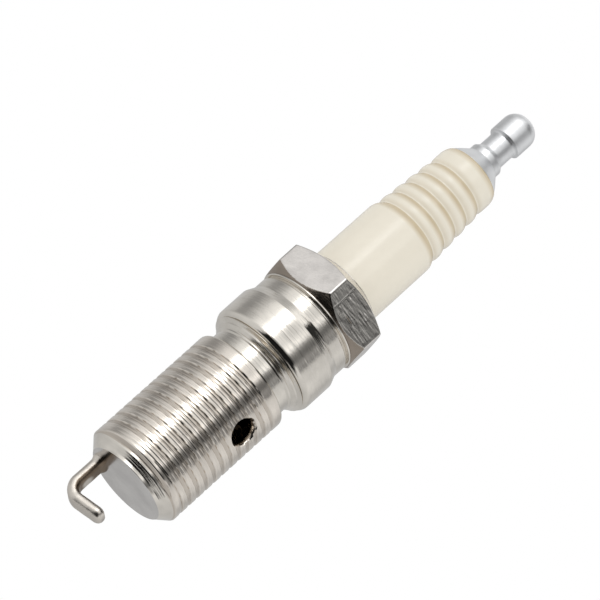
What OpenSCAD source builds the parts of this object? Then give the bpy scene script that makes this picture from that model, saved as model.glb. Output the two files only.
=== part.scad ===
// Hollow spark-plug-shaped body that screws apart. Sizes in mm, +Z towards the terminal.
// The origin is on the axis, in the plane where the shell's mouth meets the collar.

/* [Threaded shell] */
// crest radius of the outer thread
thread_r = 7.5; // [7.4:0.05:7.6]
// pitch of the outer thread
thread_pitch = 1.5; // [1.4:0.05:1.6]
// depth of the outer thread's grooves
thread_depth = 0.6; // [0.4:0.05:0.7]
// distance from the mouth to the closed end face
shell_length = 24.25; // [24:0.25:25]
// radius of the flat end face
end_face_r = 5.9; // [5.7:0.1:6]
// neck radius behind the thread
neck_r = 6.55; // [6.5:0.05:6.8]
// radius of the chamber inside
chamber_r = 5.8; // [5.6:0.05:5.9]
// radius of the side air hole
air_hole_r = 1.75; // [1.5:0.05:1.9]
// distance of the air hole from the mouth
air_hole_z = 9.6; // [9.4:0.05:10.5]
// direction of the air hole about the axis, from +X
air_hole_angle = 45; // [30:1:60]

/* [Ground electrode] */
// width of the bar across the bend
bar_width = 2.7; // [2.4:0.05:2.8]
// thickness of the bar in the bend's plane
bar_thickness = 1.6; // [1.4:0.05:1.65]
// distance of the bar from the axis
bar_offset = 4.57; // [4.5:0.01:4.8]
// distance from the end face to the bar's outermost side
hook_reach = 6.7; // [6.5:0.05:7.2]
// angle by which the free leg leans back to the face
hook_lean = 5; // [3:1:10]
// direction of the bar about the axis, from +X
hook_angle = -115; // [-125:1:-105]

/* [Collar and hexagon] */
// radius of the drum
drum_r = 8.3; // [8.2:0.05:8.4]
// radius of the drum's stepped rear part
step_r = 7.72; // [7.7:0.02:7.8]
// width across flats of the hexagon
hex_af = 16; // [15.8:0.1:16]
// turn of the hexagon about the axis
hex_angle = -4; // [-30:1:30]

/* [Insulator] */
// radius of the smooth half
insulator_r = 5.68; // [5.6:0.02:5.7]
// number of ribs
rib_count = 5; // [5:1:5]
// distance from rib to rib
rib_pitch = 2.3; // [2.25:0.05:2.3]
// curve radius of a rib
rib_round = 1.9; // [1.7:0.1:2.2]

/* [Terminal] */
// radius of the rounded nose
nose_r = 2.55; // [2.45:0.05:2.6]
// radius of the neck
terminal_neck_r = 2.06; // [2:0.02:2.1]
// radius of the bore
terminal_bore_r = 0.9; // [0.85:0.05:0.95]

/* [Hidden] */
face_z = -shell_length;
chamfer_h = 1.6;
thread_z0 = face_z + chamfer_h;
thread_z1 = -4.2;
groove_count = 12;
mouth_r = 5.10;
inner_root_r = 5.5;
inner_pitch = 0.75;
spigot_r = 5.05;
spigot_end = -6.0;
recess_r = 3.3;
recess_top = 0.5;
draw_r = 1.5;
tube_r = 1.75;
tube_bore_r = 1.25;
tube_z0 = 5.0;
tube_z1 = 43.3;
ring_z0 = 8.65;
ring_z1 = 8.95;
hex_z0 = ring_z1;
hex_z1 = 15.3;
seat_z = 11.6;
insulator_z0 = 11.9;
insulator_z1 = 39.75;
smooth_z1 = 25.9;
rib_z0 = 28.35;
rib_r0 = 5.34;
rib_step = 0.155;
last_z = rib_z0 + (rib_count - 1) * rib_pitch;
terminal_z0 = 39.77;
stud_pitch = 0.6;
foot_depth = 2.0;
nose_z = 48.9;
nose_round = 2.0;
nose_top = nose_z + nose_round;
slack = 0.02;
$fn = 96;

// One thread groove in section: a trapezoid open to the outside at radius r.
module groove(r, depth, pitch) {
    polygon([
        [r + 0.01, -0.36 * pitch], [r - depth, -0.12 * pitch],
        [r - depth, 0.12 * pitch], [r + 0.01, 0.36 * pitch]
    ]);
}

// One thread groove in section, open to the inside at radius r.
module inner_groove(r, depth, pitch) {
    polygon([
        [r - 0.01, -0.36 * pitch], [r + depth, -0.12 * pitch],
        [r + depth, 0.12 * pitch], [r - 0.01, 0.36 * pitch]
    ]);
}

module shell_section() {
    difference() {
        union() {
            polygon([
                [0, face_z], [end_face_r, face_z], [thread_r - 0.1, thread_z0 - 0.06],
                [thread_r, thread_z0 + 0.1], [thread_r, thread_z1], [neck_r, thread_z1],
                [neck_r, -1.5], [neck_r + 0.1, -1.3], [7.72, -0.14], [7.8, -0.1], [7.8, -0.04],
                [7.74, 0], [0, 0]
            ]);
            translate([thread_r - 0.9, thread_z1]) circle(r = 0.9);
        }
        for (i = [0 : groove_count - 1])
            translate([0, thread_z0 + 0.85 + i * thread_pitch])
                groove(thread_r, thread_depth, thread_pitch);
        polygon([
            [-1, face_z + 3], [chamber_r - 0.5, face_z + 3], [chamber_r, face_z + 3.5],
            [chamber_r, -6.3], [mouth_r, -5.6], [mouth_r, -0.2], [mouth_r + 0.2, 0],
            [mouth_r + 0.2, 1], [-1, 1]
        ]);
        for (i = [0 : 3])
            translate([0, -5.1 + i * inner_pitch])
                inner_groove(mouth_r, inner_root_r - mouth_r, inner_pitch);
    }
}

module threaded_shell() {
    color([0.78, 0.76, 0.72]) difference() {
        rotate_extrude() shell_section();
        rotate([0, 0, air_hole_angle]) translate([0, 0, -air_hole_z])
            rotate([0, 90, 0]) cylinder(r = air_hole_r, h = 10);
        rotate([0, 0, hook_angle]) translate([bar_offset, 0, face_z - 1])
            linear_extrude(foot_depth + 1) bar_section(slack);
    }
}

// The bar's section: a rectangle with rounded corners, its thickness along X.
module bar_section(grow) {
    t = bar_thickness / 2 + grow;
    w = bar_width / 2 + grow;
    c = 0.6;
    square([2 * (t - c), 2 * w], center = true);
    square([2 * t, 2 * (w - c)], center = true);
    for (x = [-1, 1])
        for (y = [-1, 1])
            translate([x * (t - c), y * (w - c)]) circle(r = c);
}

module ground_electrode() {
    bend_r = 1.9;
    bend_z = face_z - hook_reach + bar_thickness / 2 + bend_r;
    sweep = 90 + hook_lean;
    leg = 3.25;
    color([0.74, 0.72, 0.68]) rotate([0, 0, hook_angle]) {
        translate([bar_offset, 0, bend_z])
            linear_extrude(face_z + foot_depth - 0.02 - bend_z) bar_section(0);
        translate([bar_offset - bend_r, 0, bend_z]) rotate([-90, 0, 0]) {
            rotate_extrude(angle = sweep) translate([bend_r, 0]) bar_section(0);
            rotate([0, 0, sweep]) translate([bend_r, 0, 0]) rotate([-90, 0, 0]) {
                linear_extrude(leg, center = false) bar_section(0);
                translate([0, 0, leg]) intersection() {
                    rotate([90, 0, 0]) cylinder(r = bar_thickness / 2, h = bar_width, center = true);
                    translate([0, 0, 0.3]) cube([3, bar_width - 0.3, 0.8], center = true);
                }
            }
        }
    }
}

module shell_seal() {
    color([0.08, 0.08, 0.08]) translate([0, 0, -1.35]) rotate_extrude()
        translate([4.58, 0]) circle(r = 0.48);
}

module collar_section() {
    difference() {
        union() {
            polygon([
                [0, spigot_end], [spigot_r - 0.4, spigot_end], [spigot_r, spigot_end + 0.35],
                [spigot_r, 0.02], [drum_r - 0.6, 0.02], [drum_r - 0.6, 0.9], [drum_r, 0.9],
                [drum_r, 5.05], [step_r + 0.1, 5.8], [step_r, 6.1], [step_r, 8.0],
                [step_r - 0.15, 8.15], [7.3, 8.15], [7.3, ring_z0], [5.48, ring_z0],
                [5.48, seat_z - 0.3], [5.2, seat_z], [0, seat_z]
            ]);
            translate([drum_r - 0.88, 0.9]) circle(r = 0.88);
        }
        for (i = [0 : 3])
            translate([0, -5.1 + i * inner_pitch]) groove(spigot_r, 0.4, inner_pitch);
        translate([4.05, -2.0]) square([2, 1.3]);
        polygon([
            [-1, spigot_end - 1], [recess_r + 0.3, spigot_end - 1], [recess_r + 0.3, spigot_end],
            [recess_r, spigot_end + 0.3], [recess_r, recess_top], [2.7, recess_top], [2.7, 1.2],
            [draw_r, 2.4], [draw_r, tube_z0 - 0.02], [tube_r + slack, tube_z0 - 0.02],
            [tube_r + slack, seat_z + 1], [-1, seat_z + 1]
        ]);
    }
}

module collar() {
    color([0.8, 0.78, 0.74]) rotate_extrude() collar_section();
}

module screen() {
    color([0.6, 0.6, 0.6]) translate([0, 0, recess_top - 0.3]) difference() {
        cylinder(r = recess_r - slack, h = 0.28);
        for (ring = [1 : 3])
            for (k = [0 : 6 * ring - 1])
                rotate([0, 0, k * 60 / ring]) translate([0.8 * ring, 0, -1])
                    cylinder(r = 0.25, h = 3);
        translate([0, 0, -1]) cylinder(r = 0.25, h = 3);
    }
}

module trim_ring() {
    color([0.86, 0.84, 0.8]) rotate_extrude() difference() {
        translate([5.5, ring_z0]) square([2.35, ring_z1 - ring_z0]);
        translate([7.95, ring_z0 - 0.05]) rotate(45) square(0.25, center = true);
    }
}

module hex_body() {
    corner_r = hex_af / sqrt(3);
    color([0.74, 0.73, 0.7]) rotate([0, 0, hex_angle]) difference() {
        intersection() {
            translate([0, 0, hex_z0]) cylinder(r = corner_r, h = hex_z1 - hex_z0, $fn = 6);
            rotate_extrude() polygon([
                [0, hex_z0], [7.75, hex_z0], [8.0, hex_z0 + 0.2], [corner_r, hex_z0 + 1.3],
                [corner_r + 1, hex_z0 + 2.15], [corner_r + 1, hex_z1 - 2.6],
                [8.0, hex_z1 - 1.3], [5.95, hex_z1 - 0.08], [5.8, hex_z1], [0, hex_z1]
            ]);
        }
        translate([0, 0, hex_z0 - 1]) cylinder(r = 5.5, h = 10);
        translate([0, 0, seat_z]) cylinder(r = insulator_r + slack, h = 5);
    }
}

module insulator_gasket() {
    color([0.5, 0.2, 0.15]) translate([0, 0, seat_z + 0.01]) difference() {
        cylinder(r = insulator_r - 0.05, h = insulator_z0 - seat_z - 0.02);
        translate([0, 0, -1]) cylinder(r = tube_r + 0.1, h = 3);
    }
}

module insulator_section() {
    end_round = 2.4;
    land_r = rib_r0 - rib_count * rib_step + 0.14;
    difference() {
        union() {
            polygon([
                [0, insulator_z0], [insulator_r - 0.2, insulator_z0],
                [insulator_r, insulator_z0 + 0.2], [insulator_r, hex_z1],
                [insulator_r - 0.04, smooth_z1], [4.4, smooth_z1 + 1.5], [3.9, last_z],
                [3.5, insulator_z1], [0, insulator_z1]
            ]);
            translate([insulator_r - 0.04 - rib_round, smooth_z1]) circle(r = rib_round);
            for (i = [0 : rib_count - 2])
                translate([rib_r0 - i * rib_step - rib_round, rib_z0 + i * rib_pitch])
                    circle(r = rib_round);
            translate([land_r - rib_round, last_z]) circle(r = rib_round);
            translate([land_r - 1, last_z]) square([1, 1]);
            intersection() {
                translate([land_r - end_round, last_z + 1]) circle(r = end_round);
                translate([0, last_z]) square([8, insulator_z1 - last_z]);
            }
        }
        translate([-1, insulator_z0 - 1]) square([tube_r + 0.03 + 1, 40]);
    }
}

module insulator() {
    color([0.88, 0.85, 0.76]) rotate_extrude() insulator_section();
}

module draw_tube() {
    color([0.78, 0.65, 0.35]) rotate_extrude() difference() {
        polygon([
            [tube_bore_r, tube_z0], [tube_r - 0.2, tube_z0], [tube_r, tube_z0 + 0.2],
            [tube_r, tube_z1 - 0.2], [tube_r - 0.2, tube_z1], [tube_bore_r, tube_z1]
        ]);
        for (i = [0 : 3])
            translate([0, 41.2 + i * stud_pitch]) groove(tube_r, 0.25, stud_pitch);
    }
}

module terminal_section() {
    difference() {
        union() {
            polygon([
                [0, terminal_z0], [4.2, terminal_z0], [4.25, terminal_z0 + 0.1], [3.75, 40.6],
                [2.75, 41.85], [nose_r, 42.1], [nose_r, 42.95], [terminal_neck_r, 43.6],
                [terminal_neck_r, 45.65], [terminal_neck_r + 0.1, 46.05], [nose_r, 46.45],
                [nose_r, nose_z], [0, nose_z]
            ]);
            intersection() {
                translate([nose_r - nose_round, nose_z]) circle(r = nose_round);
                translate([0, nose_z - 1]) square([5, nose_round + 1]);
            }
            translate([0, nose_z - 1]) square([nose_r - nose_round + 0.01, nose_round + 1]);
        }
        polygon([
            [-1, terminal_z0 - 1], [2.45, terminal_z0 - 1], [2.45, terminal_z0 + 0.64],
            [1.8, terminal_z0 + 0.64], [1.8, 43.4], [terminal_bore_r, 43.75],
            [terminal_bore_r, nose_top - 0.25], [terminal_bore_r + 0.3, nose_top + 0.05],
            [terminal_bore_r + 0.3, 52], [-1, 52]
        ]);
        for (i = [0 : 2])
            translate([0, 41.8 + i * stud_pitch]) inner_groove(1.8, 0.25, stud_pitch);
    }
}

module terminal() {
    color([0.82, 0.83, 0.85]) rotate_extrude() terminal_section();
}

module terminal_seal() {
    color([0.1, 0.1, 0.1]) translate([0, 0, terminal_z0 + 0.32]) rotate_extrude()
        translate([2.125, 0]) circle(r = 0.29);
}

threaded_shell();
ground_electrode();
shell_seal();
collar();
screen();
trim_ring();
hex_body();
insulator_gasket();
insulator();
draw_tube();
terminal();
terminal_seal();
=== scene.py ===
"""A hollow spark-plug-shaped body, in the frame's own axes: +Z towards the terminal, +X to the camera."""
import math

import bmesh
import bpy
from mathutils import Matrix, Vector, noise


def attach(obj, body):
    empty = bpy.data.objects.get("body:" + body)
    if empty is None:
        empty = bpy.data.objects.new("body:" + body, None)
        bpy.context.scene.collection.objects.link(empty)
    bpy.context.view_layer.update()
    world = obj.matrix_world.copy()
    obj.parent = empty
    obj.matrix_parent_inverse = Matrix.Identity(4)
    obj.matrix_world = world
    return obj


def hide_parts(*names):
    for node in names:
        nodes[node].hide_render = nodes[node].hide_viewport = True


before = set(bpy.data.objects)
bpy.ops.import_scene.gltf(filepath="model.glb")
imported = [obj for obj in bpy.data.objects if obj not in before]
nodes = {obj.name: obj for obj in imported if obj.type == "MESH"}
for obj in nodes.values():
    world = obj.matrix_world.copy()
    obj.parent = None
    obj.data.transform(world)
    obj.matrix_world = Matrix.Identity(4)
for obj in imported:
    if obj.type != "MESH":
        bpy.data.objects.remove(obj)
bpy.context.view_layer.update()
MM = 0.001
IN_MM = (1000, 1000, 1000)  # texture scale that turns object coordinates into mm

# Sizes in mm and angles in degrees that several functions use.
FACE_Z = -24.25
THREAD_RADIUS = 7.5
INNER_PITCH = 0.75
WORN_SIDE = (-3.0, 55.0)


# ---------------------------------------------------------------- profiles
def rounded(points, steps=5, support=0.03):
    """A closed outline from (r, z, fillet) corners.
    Each fillet becomes an arc with a support point beyond each end."""
    out = []
    n = len(points)
    for i, (x, y, fillet) in enumerate(points):
        here = Vector((x, y))
        if not fillet:
            out.append((x, y))
            continue
        before = Vector(points[i - 1][:2])
        after = Vector(points[(i + 1) % n][:2])
        a, b = (before - here).normalized(), (after - here).normalized()
        half = math.acos(max(-1.0, min(1.0, a.dot(b)))) / 2
        if half > math.radians(89):
            out.append((x, y))
            continue
        back = min(fillet / math.tan(half), 0.49 * (before - here).length, 0.49 * (after - here).length)
        radius = back * math.tan(half)
        centre = here + (a + b).normalized() * (radius / math.sin(half))
        start, end = here + a * back, here + b * back
        u, v = start - centre, end - centre
        sweep = math.atan2(u.x * v.y - u.y * v.x, u.dot(v))
        if (before - start).length > 3 * support:
            out.append(tuple(start + a * support))
        for k in range(steps + 1):
            t = sweep * k / steps
            c, s = math.cos(t), math.sin(t)
            out.append((centre.x + u.x * c - u.y * s, centre.y + u.x * s + u.y * c))
        if (after - end).length > 3 * support:
            out.append(tuple(end + b * support))
    return out


def densified(outline, step, low, high):
    """The outline with its long straight runs between heights low and high cut into short ones."""
    out = []
    for i, (r, z) in enumerate(outline):
        out.append((r, z))
        r2, z2 = outline[(i + 1) % len(outline)]
        if low - 0.01 <= min(z, z2) and max(z, z2) <= high + 0.01:
            cuts = int(math.hypot(r2 - r, z2 - z) / step)
            for k in range(1, cuts + 1):
                t = k / (cuts + 1)
                out.append((r + (r2 - r) * t, z + (z2 - z) * t))
    return out


# ---------------------------------------------------------------- meshes
def finish_mesh(name, bm, body=None, replaces=(), sharp=38.0):
    """A smooth object from bm, with edges sharper than sharp degrees kept. A body makes it a finished piece."""
    bmesh.ops.recalc_face_normals(bm, faces=bm.faces[:])
    mesh = bpy.data.meshes.new(name)
    bm.to_mesh(mesh)
    bm.free()
    obj = bpy.data.objects.new(name, mesh)
    bpy.context.collection.objects.link(obj)
    for p in mesh.polygons:
        p.use_smooth = True
    mesh.set_sharp_from_angle(angle=math.radians(sharp))
    if body:
        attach(obj, body)
        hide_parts(*replaces)
    return obj


def lathe(outline, segments=160, warp=None, closed=True, angles=None):
    """A solid of revolution about Z from an outline in mm. One that is not closed runs from axis to axis.
    warp(r, z, angle) gives the moved r and z of a point."""
    bm = bmesh.new()
    angles = angles or [2 * math.pi * k / segments for k in range(segments)]
    rings = []
    for r, z in outline:
        if r < 1e-6:
            rings.append([bm.verts.new((0, 0, z * MM))])
            continue
        ring = []
        for a in angles:
            r1, z1 = warp(r, z, a) if warp else (r, z)
            ring.append(bm.verts.new((r1 * math.cos(a) * MM, r1 * math.sin(a) * MM, z1 * MM)))
        rings.append(ring)
    count = len(rings)
    for i in range(count if closed else count - 1):
        low, high = rings[i], rings[(i + 1) % count]
        n = max(len(low), len(high))
        for k in range(n):
            m = (k + 1) % n
            if len(low) == 1 and len(high) == 1:
                continue
            if len(low) == 1:
                bm.faces.new((low[0], high[m], high[k]))
            elif len(high) == 1:
                bm.faces.new((low[k], low[m], high[0]))
            else:
                bm.faces.new((low[k], low[m], high[m], high[k]))
    return bm


def cut(obj, tool):
    """Takes a closed tool object out of obj, for good."""
    mod = obj.modifiers.new("cut", "BOOLEAN")
    mod.operation, mod.solver, mod.object = "DIFFERENCE", "EXACT", tool
    graph = bpy.context.evaluated_depsgraph_get()
    done = bpy.data.meshes.new_from_object(obj.evaluated_get(graph))
    obj.modifiers.clear()
    old, obj.data = obj.data, done
    bpy.data.meshes.remove(old)
    bpy.data.objects.remove(tool)


def smooth_step(x):
    """0 below 0, 1 above 1, and a smooth rise between."""
    x = max(0.0, min(1.0, x))
    return x * x * (3 - 2 * x)


def signed_angle(a):
    """An angle brought to the range from -pi to pi."""
    return (a + math.pi) % (2 * math.pi) - math.pi


def groove_share(phase, crest, root):
    """How deep a groove is at a phase from 0 to 1: 0 on the crest and 1 in the root, with rounded corners."""
    x = abs(phase - 0.5) * 2
    t = (1 - crest - x) / (1 - crest - root)
    return smooth_step(t)


def threaded(radius, depth, pitch, low, high, fade, crest=0.3, root=0.2, turn=0.0, inner=False, dip=0.0):
    """A warp that cuts a right-hand helical groove between two heights, fading out over fade mm at each end.
    crest and root are their shares of the pitch. inner cuts the groove outwards, into a bore.
    dip is the depth of the fine seam along the crest, and the height of the one in the root."""
    seam_width = 0.12  # from its middle to its edge, as a share of the pitch
    wall = 0.3  # how far under the groove's root a point still belongs to the threaded surface
    bore_wall = 0.02  # the same for a bore, either way from its radius

    def warp(r, z, angle):
        if z < low - fade or z > high + fade:
            return r, z
        phase = (z / pitch - angle / (2 * math.pi) + turn) % 1.0
        ends = min(smooth_step((z - low + fade) / fade), smooth_step((high + fade - z) / fade))
        on_crest = smooth_step(1 - min(phase, 1 - phase) / seam_width)
        in_root = smooth_step(1 - abs(phase - 0.5) / seam_width)
        seam = dip * (on_crest - in_root)
        deep = (depth * groove_share(phase, crest, root) + seam) * ends
        if inner:
            return (max(r, radius + deep) if abs(r - radius) < bore_wall else r), z
        return (min(r, radius - deep) if r > radius - depth - wall else r), z
    return warp


# ---------------------------------------------------------------- materials
# Painted shade with some dirt: the colour of the thread's roots and of all that lies nearer the axis.
ROOT_SHADE_AND_DIRT = (0.6, 0.545, 0.48)
# Painted shade on the inward face of the bar's arm.
ARM_INNER_SHADE = (0.22, 0.17, 0.125)
# Painted shade on the sides of the ribs.
RIB_SHADE = (0.62, 0.52, 0.36)


def material(name, colour, metallic, roughness):
    """A new material, with its node tree and its main shader."""
    m = bpy.data.materials.new(name)
    m.use_nodes = True
    tree = m.node_tree
    shader = tree.nodes["Principled BSDF"]
    shader.inputs["Base Color"].default_value = (*colour, 1)
    shader.inputs["Metallic"].default_value = metallic
    shader.inputs["Roughness"].default_value = roughness
    return m, tree, shader


def add(tree, kind, **values):
    """A new node; each value is one of its properties or the value of one of its inputs."""
    n = tree.nodes.new(kind)
    for key, value in values.items():
        if hasattr(n, key):
            setattr(n, key, value)
        else:
            n.inputs[key].default_value = value
    return n


def coordinates(tree, scale):
    place = add(tree, "ShaderNodeTexCoord")
    mapping = add(tree, "ShaderNodeMapping")
    mapping.inputs["Scale"].default_value = scale
    tree.links.new(place.outputs["Object"], mapping.inputs["Vector"])
    return mapping.outputs["Vector"]


def noise_of(tree, scale, detail=3.0, rough=0.5):
    n = add(tree, "ShaderNodeTexNoise", Scale=1.0, Detail=detail, Roughness=rough)
    tree.links.new(coordinates(tree, scale), n.inputs["Vector"])
    return n.outputs["Fac"]


def ramp(tree, source, stops):
    """A colour ramp; each stop is a position and a colour or a grey."""
    n = add(tree, "ShaderNodeValToRGB")
    band = n.color_ramp
    while len(band.elements) < len(stops):
        band.elements.new(0.5)
    for e, (pos, c) in zip(band.elements, stops):
        e.position = pos
        e.color = (*c, 1) if isinstance(c, tuple) else (c, c, c, 1)
    tree.links.new(source, n.inputs["Fac"])
    return n.outputs["Color"]


def span(tree, source, low, high):
    """The source's range from 0 to 1, spread from low to high."""
    n = add(tree, "ShaderNodeMapRange")
    n.inputs["To Min"].default_value, n.inputs["To Max"].default_value = low, high
    tree.links.new(source, n.inputs["Value"])
    return n.outputs["Result"]


def rise(tree, source, start, end):
    """0 on the far side of start and 1 beyond end, with a smooth change between; end may be the lower one."""
    n = add(tree, "ShaderNodeMapRange", interpolation_type="SMOOTHSTEP")
    n.inputs["From Min"].default_value, n.inputs["From Max"].default_value = start, end
    tree.links.new(source, n.inputs["Value"])
    return n.outputs["Result"]


def product(tree, first, second):
    n = add(tree, "ShaderNodeMath", operation="MULTIPLY")
    tree.links.new(first, n.inputs[0])
    tree.links.new(second, n.inputs[1])
    return n.outputs[0]


def mixed(tree, share, first, second):
    """first where the share is 0, second where it is 1. Each is a colour or the output that gives one."""
    n = add(tree, "ShaderNodeMix", data_type="RGBA")
    tree.links.new(share, n.inputs["Factor"])
    for name, colour in (("A", first), ("B", second)):
        if isinstance(colour, tuple):
            n.inputs[name].default_value = (*colour, 1)
        else:
            tree.links.new(colour, n.inputs[name])
    return n.outputs["Result"]


def bump(tree, shader, height, strength, distance, under=None):
    n = add(tree, "ShaderNodeBump", Strength=strength, Distance=distance)
    tree.links.new(height, n.inputs["Height"])
    if under is not None:
        tree.links.new(under, n.inputs["Normal"])
    tree.links.new(n.outputs["Normal"], shader.inputs["Normal"])
    return n.outputs["Normal"]


def nickel(name, colour, rough, turning, wobble=0.25, root_shade_and_dirt=None):
    """Plated metal: fine turning rings about Z, soft unevenness, and a slight change of tone.
    root_shade_and_dirt is two distances from the axis in mm: darkened fully at the first and clean from the second.
    It is painted shade with some dirt, deepest in a thread's roots and over all that lies nearer the axis."""
    m, tree, shader = material(name, colour, 1.0, rough)
    dark = tuple(c * 0.86 for c in colour)
    tone = ramp(tree, noise_of(tree, (260, 260, 420), 4), [(0.35, dark), (0.6, colour)])
    if root_shade_and_dirt:
        from_axis = add(tree, "ShaderNodeVectorMath", operation="LENGTH")
        tree.links.new(coordinates(tree, (1000, 1000, 0)), from_axis.inputs[0])
        # painted shade with some dirt, nearer the axis than the thread's crests
        tone = mixed(tree, rise(tree, from_axis.outputs["Value"], *root_shade_and_dirt), ROOT_SHADE_AND_DIRT, tone)
    tree.links.new(tone, shader.inputs["Base Color"])
    smear = noise_of(tree, (500, 500, 3000), 3)
    tree.links.new(span(tree, smear, rough * 0.7, rough * 1.5), shader.inputs["Roughness"])
    rings = noise_of(tree, (40, 40, 3600), 3, 0.65)
    soft = noise_of(tree, (420, 420, 900), 3)
    first = bump(tree, shader, rings, turning, 0.00012)
    bump(tree, shader, soft, wobble, 0.0001, first)
    return m


def plain(name, colour, metallic, rough, grain=(900, 900, 900), strength=0.2, depth=0.00003, vary=0.12):
    """An even surface with a fine grain, which changes the tone, the gloss and the height a little."""
    m, tree, shader = material(name, colour, metallic, rough)
    dark = tuple(c * (1 - vary) for c in colour)
    fine = noise_of(tree, grain, 4)
    tree.links.new(ramp(tree, fine, [(0.3, dark), (0.7, colour)]), shader.inputs["Base Color"])
    tree.links.new(span(tree, fine, rough * 0.8, min(1.0, rough * 1.2)), shader.inputs["Roughness"])
    bump(tree, shader, fine, strength, depth)
    return m


def retone(m, change):
    """Puts a material's colour through change(tree, clean), which gives the new colour."""
    tree, shader = m.node_tree, m.node_tree.nodes["Principled BSDF"]
    clean = shader.inputs["Base Color"].links[0].from_socket
    tree.links.new(change(tree, clean), shader.inputs["Base Color"])


def shaded_inner_arm(tree, clean):
    """Painted shade on the inner face of the bar's arm: a dark brown for the dark it mirrors, with a spot left light
    as a painted glint.
    """
    inward = math.radians(65)
    tip_side = (-2.3, -2.8)  # Y in mm between which the painted shade sets in
    place = add(tree, "ShaderNodeTexCoord")
    facing = add(tree, "ShaderNodeVectorMath", operation="DOT_PRODUCT")
    facing.inputs[1].default_value = (math.cos(inward), math.sin(inward), 0)
    tree.links.new(place.outputs["Normal"], facing.inputs[0])
    # The spot kept light round this point is a painted glint.
    away = add(tree, "ShaderNodeVectorMath", operation="DISTANCE")
    tree.links.new(coordinates(tree, (300, 1600, 600)), away.inputs[0])
    away.inputs[1].default_value = (-0.2, -5.2, -16.4)
    split = add(tree, "ShaderNodeSeparateXYZ")
    tree.links.new(coordinates(tree, IN_MM), split.inputs[0])
    share = rise(tree, facing.outputs["Value"], 0.0, 0.4)
    share = product(tree, share, rise(tree, away.outputs["Value"], 0.45, 0.8))
    share = product(tree, share, rise(tree, split.outputs["Y"], *tip_side))
    return mixed(tree, share, clean, ARM_INNER_SHADE)


def shaded_ribs(tree, clean):
    """Painted shade on the sides of the ribs, most on those that face the terminal."""
    place = add(tree, "ShaderNodeTexCoord")
    split = add(tree, "ShaderNodeSeparateXYZ")
    tree.links.new(place.outputs["Normal"], split.inputs[0])
    wide = add(tree, "ShaderNodeMapRange")
    wide.inputs["From Min"].default_value = -1.0  # the normal's Z runs from -1 to 1
    tree.links.new(split.outputs["Z"], wide.inputs["Value"])
    # Painted shade by the normal's Z: full on sides facing the terminal, a third on those facing the closed end,
    # none where the surface is parallel to the axis.
    share = ramp(tree, wide.outputs["Result"], [(0.25, 0.35), (0.44, 0.0), (0.52, 0.0), (0.72, 1.0)])
    return mixed(tree, share, clean, RIB_SHADE)


mat_thread = nickel("nickel_thread", (0.80, 0.745, 0.675), 0.1, 0.32, root_shade_and_dirt=(7.35, 7.44))
mat_polish = nickel("nickel_polished", (0.80, 0.76, 0.695), 0.07, 0.45)
mat_bar = nickel("bar_metal", (0.76, 0.71, 0.645), 0.32, 0.05, 0.6)
retone(mat_bar, shaded_inner_arm)
mat_hex = nickel("nickel_rough", (0.82, 0.785, 0.75), 0.2, 0.2, 0.6)
mat_cone = nickel("nickel_ground", (0.36, 0.31, 0.26), 0.2, 0.8, 1.0)
mat_worn = nickel("nickel_worn", (0.56, 0.54, 0.505), 0.17, 0.5, 1.0)
mat_face = nickel("nickel_satin", (0.74, 0.72, 0.70), 0.2, 0.05, 0.12)
mat_alu = nickel("bright_aluminium", (0.92, 0.93, 0.94), 0.4, 0.15, 0.3)
mat_ivory = plain("ivory", (0.86, 0.805, 0.685), 0.0, 0.17, (140, 140, 140), 0.25, 0.00006, 0.035)
retone(mat_ivory, shaded_ribs)
mat_brass = nickel("tube_brass", (0.80, 0.62, 0.32), 0.25, 0.3)
mat_rubber = plain("seal_rubber", (0.02, 0.02, 0.022), 0.0, 0.6)
mat_gasket = plain("gasket_rubber", (0.28, 0.08, 0.05), 0.0, 0.65)
mat_screen = plain("screen_steel", (0.62, 0.61, 0.6), 1.0, 0.32)


def dress(obj, *mats):
    obj.data.materials.clear()
    for m in mats:
        obj.data.materials.append(m)


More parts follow.
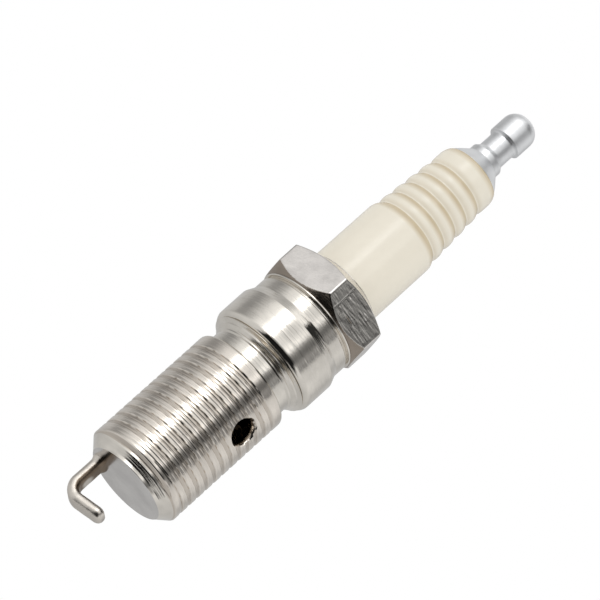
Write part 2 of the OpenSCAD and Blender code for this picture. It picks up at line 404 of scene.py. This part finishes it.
# ---------------------------------------------------------------- shell
def build_shell():
    """The threaded shell with its chamber and air hole. Its mouth and flared seat are at Z 0."""
    hole_z, hole_azimuth = -9.6, 45
    skin_radius = 5.9  # the outside lies beyond it, the chamber and the end face within
    outer = [
        (0, -24.25, 0), (5.95, -24.25, 0), (5.97, -24.2, 0), (7.5, -22.6, 0), (7.5, -4.2, 0), (7.5, -3.25, 0.9),
        (6.55, -3.25, 0.1), (6.55, -1.42, 0.06), (6.72, -1.25, 0.04), (6.75, -1.03, 0.06), (7.26, -0.6, 0.06),
        (7.3, -0.38, 0.06), (7.74, -0.12, 0.05), (7.84, -0.1, 0.03), (7.8, 0, 0.04),
        (5.3, 0, 0.04), (5.1, -0.2, 0.04), (5.1, -5.6, 0.05), (5.8, -6.3, 0.1), (5.8, -20.75, 0.1),
        (5.3, -21.25, 0.1), (0, -21.25, 0),
    ]
    outline = densified(rounded(outer), 0.05, -24.21, -4.1)
    screw = threaded(THREAD_RADIUS, 0.17, 1.5, -21.3, -5.3, 0.7, crest=0.5, root=0.34, turn=0.12, dip=0.03)
    inner = threaded(5.1, 0.35, INNER_PITCH, -5.2, -2.9, 0.3, inner=True)
    stairs = [  # height over the end face, radius
        (0.0, 5.96), (0.46, 5.97), (1.14, 6.72), (1.52, 6.73), (1.74, 7.2), (1.9, 7.46),
        (2.05, THREAD_RADIUS), (9.0, THREAD_RADIUS),
    ]

    def front(r, z, a):
        """The chamfer, which has narrow polished steps on the side where the thread's first groove runs out."""
        turned = signed_angle(a)
        share = smooth_step((turned + 1.3) / 0.7) * smooth_step((0.95 - turned) / 0.5)
        up = z - FACE_Z
        for (h0, r0), (h1, r1) in zip(stairs, stairs[1:]):
            if h0 <= up < h1:
                step = r0 + (r1 - r0) * (up - h0) / (h1 - h0)
                return min(r, r + (step - r) * share)
        return r

    def warp(r, z, a):
        if r < skin_radius:
            return inner(r, z, a)
        if -24.22 < z < -21.7:
            return min(front(r, z, a), screw(r, z, a)[0]), z
        return screw(r, z, a)

    obj = finish_mesh("shell", lathe(outline, 224, warp, closed=False))
    drill = [(0, 0), (1.75, 0), (1.75, 6.95), (2.35, 7.7), (2.35, 8.6), (0, 8.6)]
    hole = finish_mesh("hole_tool", lathe(drill, 96, closed=False))
    turn = Matrix.Rotation(math.radians(hole_azimuth), 4, "Z")
    hole.data.transform(turn @ Matrix.Translation((0, 0, hole_z * MM)) @ Matrix.Rotation(math.pi / 2, 4, "Y"))
    cut(obj, hole)
    dress(obj, mat_thread, mat_polish, mat_face)
    thread, polished, face = range(3)
    mesh = obj.data
    for p in mesh.polygons:
        z, r = p.center.z / MM, math.hypot(p.center.x, p.center.y) / MM
        p.use_smooth = True
        p.material_index = thread
        if r > skin_radius and (z < -22.9 or z > -3.6):
            p.material_index = polished
        elif r < skin_radius and z < -24.2:
            p.material_index = face
    mesh.set_sharp_from_angle(angle=math.radians(42))
    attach(obj, "shell")
    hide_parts("threaded_shell")


# ---------------------------------------------------------------- bent bar
def build_bar():
    """A bar with rounded edges, swept out from its foot in the end face, round the bend and across the axis."""
    width, thick, off = 2.7, 1.6, 4.57
    reach, bend_r, lean, leg = 6.7, 1.9, math.radians(5), 3.25
    azimuth = -115
    straight_cuts, bend_cuts = 16, 24
    top = FACE_Z + 1.9
    bend_z = FACE_Z - reach + thick / 2 + bend_r
    weld_z, weld_reach, weld_flare = FACE_Z - 0.05, 0.75, 0.3
    hammering = 0.02
    path = []  # x, z and the angle turned through
    for k in range(straight_cuts + 1):
        path.append((off, top + (bend_z - top) * k / straight_cuts, 0.0))
    sweep = math.pi / 2 + lean
    for k in range(1, bend_cuts + 1):
        a = sweep * k / bend_cuts
        path.append((off - bend_r + bend_r * math.cos(a), bend_z - bend_r * math.sin(a), a))
    x0, z0, a0 = path[-1]
    for k in range(1, straight_cuts + 1):
        run = (leg + thick / 2 - 0.1) * k / straight_cuts
        path.append((x0 - run * math.sin(a0), z0 - run * math.cos(a0), a0))
    section = []
    corner, steps = 0.72, 10
    for side_x, side_y, start in ((1, 1, 0), (-1, 1, 90), (-1, -1, 180), (1, -1, 270)):
        for k in range(steps + 1):
            a = math.radians(start + 90 * k / steps)
            section.append((side_x * (thick / 2 - corner) + corner * math.cos(a),
                            side_y * (width / 2 - corner) + corner * math.sin(a)))
    tip_shrink = (0.6, 0.82, 0.93, 0.98)
    bm = bmesh.new()
    rings = []
    for i, (x, z, a) in enumerate(path):
        left = len(path) - 1 - i
        shrink = tip_shrink[left] if left < len(tip_shrink) else 1.0
        ring = []
        for u, v in section:
            uneven = 1 + hammering * noise.noise(Vector((u * 0.9, v * 0.9, i * 0.22)))
            flare = 1 if a else 1 + weld_flare * smooth_step(1 - abs(z - weld_z) / weld_reach)
            px, py = u * shrink * uneven * flare, v * shrink * uneven * flare
            ring.append(bm.verts.new(((x + px * math.cos(a)) * MM, py * MM, (z - px * math.sin(a)) * MM)))
        rings.append(ring)
    for low, high in zip(rings, rings[1:]):
        for k in range(len(low)):
            m = (k + 1) % len(low)
            bm.faces.new((low[k], low[m], high[m], high[k]))
    bm.faces.new(rings[0])
    bm.faces.new(rings[-1])
    obj = finish_mesh("bent_bar", bm, sharp=50)
    obj.data.transform(Matrix.Rotation(math.radians(azimuth), 4, "Z"))
    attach(obj, "shell")
    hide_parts("ground_electrode")
    dress(obj, mat_bar)


# ---------------------------------------------------------------- collar and ring
def build_collar():
    """The drum with its threaded spigot and its recess, and the thin ring between it and the hexagon."""
    corners = [
        (5.48, 8.65, 0), (7.3, 8.65, 0.05), (7.3, 8.15, 0.1), (7.72, 8.15, 0.18), (7.72, 6.3, 0.3),
        (8.3, 4.95, 0.4), (8.3, 0.02, 0.88), (5.05, 0.02, 0.04),
        (5.05, -0.7, 0.05), (4.05, -0.7, 0.08), (4.05, -2.0, 0.08), (5.05, -2.0, 0.08),
        (5.05, -5.65, 0.1), (4.7, -6.0, 0.1), (3.6, -6.0, 0.1), (3.3, -5.7, 0.1), (3.3, 0.5, 0.03),
        (2.7, 0.5, 0.05), (2.7, 1.2, 0.1), (1.5, 2.4, 0.1), (1.5, 4.98, 0.02), (1.77, 4.98, 0.02),
        (1.77, 11.6, 0.02), (5.2, 11.6, 0.1), (5.48, 11.3, 0.1),
    ]
    outline = densified(rounded(corners, 7), 0.06, -6.0, -2.0)
    warp = threaded(5.05, 0.38, INNER_PITCH, -5.3, -2.9, 0.35)
    obj = finish_mesh("collar_drum", lathe(outline, 224, warp), "rear", ["collar"], 45)
    dress(obj, mat_polish)
    ring = [(5.5, 8.65, 0.02), (7.85, 8.65, 0.1), (7.85, 8.95, 0.1), (5.5, 8.95, 0.02)]
    trim = finish_mesh("thin_ring", lathe(rounded(ring, 6), 192), "rear", ["trim_ring"], 45)
    dress(trim, mat_polish)


# ---------------------------------------------------------------- hexagon
def build_hexagon():
    """The hexagon, with rounded edges, a chamfer at each end and wear on its flats."""
    flat, turn = 8.0, math.radians(-4)
    corner = flat / math.cos(math.pi / 6)
    edge = 0.16  # how far from an edge its rounding starts
    wear_margin = 0.5  # distance from the chamfers in which the wear sets in
    near_end, length, steps = 8.95, 6.35, 80
    blank = 9.0  # radius of the points that the warp brings to the hexagon
    heights = [near_end + length * k / steps for k in range(steps + 1)]

    def soft_min(a, b):
        """The smaller of two radii, with the edge between them rounded."""
        h = max(edge - abs(a - b), 0.0) / edge
        return min(a, b) - h * h * edge * 0.25

    def cone(z):
        """Radius that the chamfers of the near and the far end leave."""
        near = 7.9 + (z - 9.0) * 1.3 / 1.2
        far = 8.0 + (14.0 - z) * (1.8 if z > 14.0 else 1.75)
        return min(near, far, corner + 1)

    def scratch(a, z):
        """Depth of the wear: shallow dents on every flat, and creases and one line on the worn side."""
        p = Vector((a * 9.0, z * 0.9, 0))
        lump = noise.noise(p * 1.1) * 0.5 + noise.noise(p * 2.7 + Vector((3, 1, 7))) * 0.3
        turned = signed_angle(a)
        first, last = (math.radians(side) for side in WORN_SIDE)
        worn = smooth_step((turned - first) / 0.05) * smooth_step((last - turned) / 0.05)
        fan = Vector((turned * 2.4 + z * 0.2, z * 2.6 - turned * 1.2, 4.0))
        fine = Vector((turned * 6.0, z * 4.6 - turned * 3.0, 9.0))
        crease = 0.5 + noise.noise(fan) * 0.7 + noise.noise(fine) * 0.8
        line = max(0.0, 1 - abs(math.degrees(turned) - 7.0 + 0.5 * math.sin(z)) / 1.0)
        return -0.008 * max(0.0, lump) - worn * (0.07 * max(0.0, crease) + 0.03 * max(0.0, lump) + 0.05 * line)

    def warp(r, z, a):
        if r < blank:
            return r, z
        local = (a - turn) % (math.pi / 3)
        side = flat / math.cos(local - math.pi / 6)
        next_one = math.pi / 3 * (1 if local > math.pi / 6 else -1)
        other = flat / max(0.2, math.cos(local - math.pi / 6 - next_one))
        six = soft_min(side, other)
        out = soft_min(six, cone(z))
        share = min(1.0, abs(cone(z) - six) / wear_margin)
        return out + (scratch(a, z) * share if cone(z) > six else 0), z

    outline = [(5.5, near_end), (7.0, near_end), (7.7, near_end), (7.8, near_end), (7.87, 8.965)]
    outline += [(blank, z) for z in heights[1:-1]]
    outline += [(5.78, 15.295), (5.73, 15.28), (5.7, 15.2), (5.7, 11.6), (5.5, 11.6)]
    columns = 540
    angles = [turn + 2 * math.pi * k / columns for k in range(columns)]
    bm = lathe(outline, warp=warp, angles=angles)
    obj = finish_mesh("hexagon", bm, "rear", ["hex_body"], 50)
    dress(obj, mat_hex, mat_cone, mat_worn)
    ground, worn = 1, 2
    for p in obj.data.polygons:
        angle = math.degrees(math.atan2(p.center.y, p.center.x))
        if p.center.z < 10.8 * MM and p.normal.z < -0.4:
            p.material_index = ground
        elif WORN_SIDE[0] - 0.2 < angle < WORN_SIDE[1] + 0.2 and abs(p.normal.z) < 0.4:
            if p.center.to_2d().length > 7.5 * MM:
                p.material_index = worn


# ---------------------------------------------------------------- insulator
def build_insulator():
    """The ivory sleeve: a smooth half, a collar, four ribs that grow smaller, and a rounded end."""
    foot_z, ribs_z, end_z = 14.3, 25.9, 39.75
    land_low, land_high, land_radius = 37.55, 38.55, 4.705
    rib_round, end_round = 1.9, 2.4
    ribs = [(5.34 - 0.155 * i, 28.35 + 2.3 * i) for i in range(4)]
    ribs += [(5.64, ribs_z), (land_radius, land_low)]

    def radius(z):
        """Radius of the sleeve at a height."""
        best = 0.0
        for top, mid in ribs:
            if abs(z - mid) < rib_round:
                best = max(best, top - rib_round + math.sqrt(rib_round ** 2 - (z - mid) ** 2))
        if z <= ribs_z:
            best = 5.68 - 0.04 * (z - foot_z) / 11.6
        if land_low <= z <= land_high:
            best = max(best, land_radius)
        if z > land_high:
            best = land_radius - end_round + math.sqrt(max(0.0, end_round ** 2 - (z - land_high) ** 2))
        return best

    def softened(z):
        """The same, with the creases between the ribs filled a little, as glaze does."""
        near = ((-0.16, 0.25), (0, 0.5), (0.16, 0.25))
        return sum(w * radius(min(end_z - 0.01, max(foot_z, z + d))) for d, w in near)

    outline = [(1.78, end_z), (1.78, 11.9), (5.5, 11.9), (5.66, 12.0), (5.68, 12.2), (5.68, foot_z)]
    z = 14.8
    while z < 39.68:
        outline.append((softened(z) if z < 39.2 else radius(z), z))
        z += 0.5 if z < 25.0 else 0.085
    outline += [(radius(39.72), 39.72), (radius(39.72) - 0.05, end_z), (2.4, end_z)]
    obj = finish_mesh("ribbed_insulator", lathe(outline, 160), "rear", ["insulator"], 50)
    dress(obj, mat_ivory)


# ---------------------------------------------------------------- terminal
def build_terminal():
    """The terminal, from its flared foot to its rounded nose, bored through for the stud and the air."""
    nose_z, nose_radius, dome, steps = 48.9, 2.55, 2.0, 20
    corners = [
        (2.45, 39.77, 0.02), (4.2, 39.77, 0.02), (4.27, 39.85, 0.04), (3.75, 40.6, 0.5), (2.75, 41.8, 0.2),
        (2.55, 42.05, 0.1), (2.55, 42.95, 0.15), (2.06, 43.6, 0.4), (2.06, 46.3, 0.35), (2.5, 46.42, 0.05),
        (nose_radius, 46.5, 0.05), (nose_radius, nose_z, 0),
    ]
    outline = rounded(corners, 6)
    for k in range(1, steps + 1):
        a = math.pi / 2 * k / steps
        outline.append((0.55 + dome * math.cos(a), nose_z + dome * math.sin(a)))
    outline = [p for p in outline if p[1] < 50.84] + [(1.16, 50.82), (1.0, 50.78), (0.9, 50.66)]
    outline += [(0.9, 43.75), (1.8, 43.4), (1.8, 40.41), (2.45, 40.41)]
    obj = finish_mesh("bored_terminal", lathe(outline, 144), "terminal", ["terminal"], 45)
    dress(obj, mat_alu)


build_shell()
build_bar()
build_collar()
build_hexagon()
build_insulator()
build_terminal()
dress(nodes["draw_tube"], mat_brass)
dress(nodes["screen"], mat_screen)
dress(nodes["shell_seal"], mat_rubber)
dress(nodes["terminal_seal"], mat_rubber)
dress(nodes["insulator_gasket"], mat_gasket)


# ---------------------------------------------------------------- studio
def build_world():
    """A studio laid out by the direction about the object's long axis: a soft box, a dark gap and grey walls,
    with other bands and a dark flag before the closed end, and others again beyond the terminal.
    The camera sees plain white, and surfaces that aren't mirrors get an even light, stronger from below."""
    brightest = 4.0
    world = bpy.data.worlds.new("studio")
    bpy.context.scene.world = world
    world.use_nodes = True
    tree = world.node_tree
    tree.nodes.clear()
    out = add(tree, "ShaderNodeOutputWorld")
    place = add(tree, "ShaderNodeTexCoord")
    split = add(tree, "ShaderNodeSeparateXYZ")
    tree.links.new(place.outputs["Generated"], split.inputs[0])
    angle = add(tree, "ShaderNodeMath", operation="ARCTAN2")
    tree.links.new(split.outputs["Y"], angle.inputs[0])
    tree.links.new(split.outputs["X"], angle.inputs[1])
    turn = add(tree, "ShaderNodeMapRange")
    turn.inputs["From Min"].default_value, turn.inputs["From Max"].default_value = -math.pi, math.pi
    tree.links.new(angle.outputs[0], turn.inputs["Value"])

    def bands(levels):
        """A grey for each direction about the long axis, from pairs of an angle in degrees and a brightness."""
        return ramp(tree, turn.outputs["Result"], [((d + 180) / 360, v / brightest) for d, v in levels])

    def within(source, low, high, soft):
        """1 where the source lies between low and high, with soft edges."""
        above_low = rise(tree, source, low - soft, low + soft)
        below_high = rise(tree, source, high + soft, high - soft)
        return product(tree, above_low, below_high)

    side = bands([
        (-180, 0.55), (-140, 0.58), (-122, 0.48), (-112, 0.33), (-96, 0.33), (-76, 0.6), (-66, 0.88),
        (-54, 1.05), (-48, 1.15), (-43, 1.7), (-38, 2.6), (-34, 3.4), (-24, 3.4), (-21, 1.5), (-18, 1.4),
        (-15, 1.0), (-3, 0.88), (5, 0.92), (12, 1.2), (19, 1.3), (24, 0.6), (29, 0.26), (40, 0.15), (50, 0.34),
        (60, 0.26), (63, 0.2), (66, 0.6), (73, 0.72), (100, 0.84), (118, 0.72), (134, 0.52), (180, 0.55),
    ])
    before = bands([(-180, 0.52), (-60, 0.75), (-20, 0.7), (60, 0.8), (110, 0.7), (180, 0.52)])
    beyond = bands([
        (-180, 0.85), (-120, 0.6), (-75, 0.5), (-55, 0.85), (-45, 1.15), (4, 1.1), (9, 0.03), (80, 0.03),
        (86, 0.65), (180, 0.85),
    ])
    flag = product(tree, within(split.outputs["Y"], -0.52, 0.71, 0.05),
                   within(split.outputs["X"], 0.04, 2.0, 0.05))
    before = mixed(tree, flag, before, (0.003, 0.003, 0.003))
    before_to_side, side_to_beyond = (-0.16, 0.31), (0.6, 0.74)  # Z of the direction
    colour = mixed(tree, rise(tree, split.outputs["Z"], *before_to_side), before, side)
    colour = mixed(tree, rise(tree, split.outputs["Z"], *side_to_beyond), colour, beyond)
    studio = add(tree, "ShaderNodeBackground", Strength=brightest)
    tree.links.new(colour, studio.inputs["Color"])
    fill = add(tree, "ShaderNodeMapRange")
    fill.inputs["From Min"].default_value, fill.inputs["From Max"].default_value = -1.0, 1.0
    from_below, from_above = 2.1, 0.85
    fill.inputs["To Min"].default_value, fill.inputs["To Max"].default_value = from_below, from_above
    tree.links.new(split.outputs["Z"], fill.inputs["Value"])
    soft = add(tree, "ShaderNodeBackground")
    tree.links.new(fill.outputs["Result"], soft.inputs["Strength"])
    white = add(tree, "ShaderNodeBackground", Strength=1.0)
    white.inputs["Color"].default_value = (1, 1, 1, 1)
    path = add(tree, "ShaderNodeLightPath")
    lit = add(tree, "ShaderNodeMixShader")
    tree.links.new(path.outputs["Is Diffuse Ray"], lit.inputs[0])
    tree.links.new(studio.outputs[0], lit.inputs[1])
    tree.links.new(soft.outputs[0], lit.inputs[2])
    mix = add(tree, "ShaderNodeMixShader")
    tree.links.new(path.outputs["Is Camera Ray"], mix.inputs[0])
    tree.links.new(lit.outputs[0], mix.inputs[1])
    tree.links.new(white.outputs[0], mix.inputs[2])
    tree.links.new(mix.outputs[0], out.inputs["Surface"])


def build_floor():
    """A wide floor, in metres, far enough below to keep out of the picture's way and out of reflections."""
    half, drop = 5, -0.4
    bm = bmesh.new()
    corners = [(-half, -half), (half, -half), (half, half), (-half, half)]
    bm.faces.new([bm.verts.new((x, y, drop)) for x, y in corners])
    mesh = bpy.data.meshes.new("floor")
    bm.to_mesh(mesh)
    bm.free()
    floor = bpy.data.objects.new("floor", mesh)
    bpy.context.collection.objects.link(floor)
    floor.visible_glossy = False
    dress(floor, material("floor_white", (0.93, 0.93, 0.93), 0.0, 0.7)[0])


def build_camera():
    """A long lens that looks up at the closed end, rolled so that the long axis rises to the right."""
    tilt, roll = math.radians(20.5), math.radians(41.86)
    lens, away = 270.0, 0.583
    back = Vector((math.cos(tilt), 0, -math.sin(tilt)))
    along = Vector((math.sin(tilt), 0, math.cos(tilt)))
    across = Vector((0, 1, 0))
    right = along * math.cos(roll) + across * math.sin(roll)
    up = along * math.sin(roll) - across * math.cos(roll)
    aim = Vector((0, -0.05 * MM, 5.25 * MM)) + right * 1.641 * MM + up * 4.905 * MM
    data = bpy.data.cameras.new("camera")
    data.lens, data.sensor_width = lens, 36.0
    data.clip_start, data.clip_end = 0.01, 10.0
    cam = bpy.data.objects.new("camera", data)
    bpy.context.collection.objects.link(cam)
    place = Matrix((right, up, back)).transposed().to_4x4()
    place.translation = aim + back * away
    cam.matrix_world = place
    bpy.context.scene.camera = cam


build_world()
build_floor()
build_camera()
bpy.context.scene.view_settings.view_transform = "Standard"
bpy.context.scene.view_settings.look = "None"
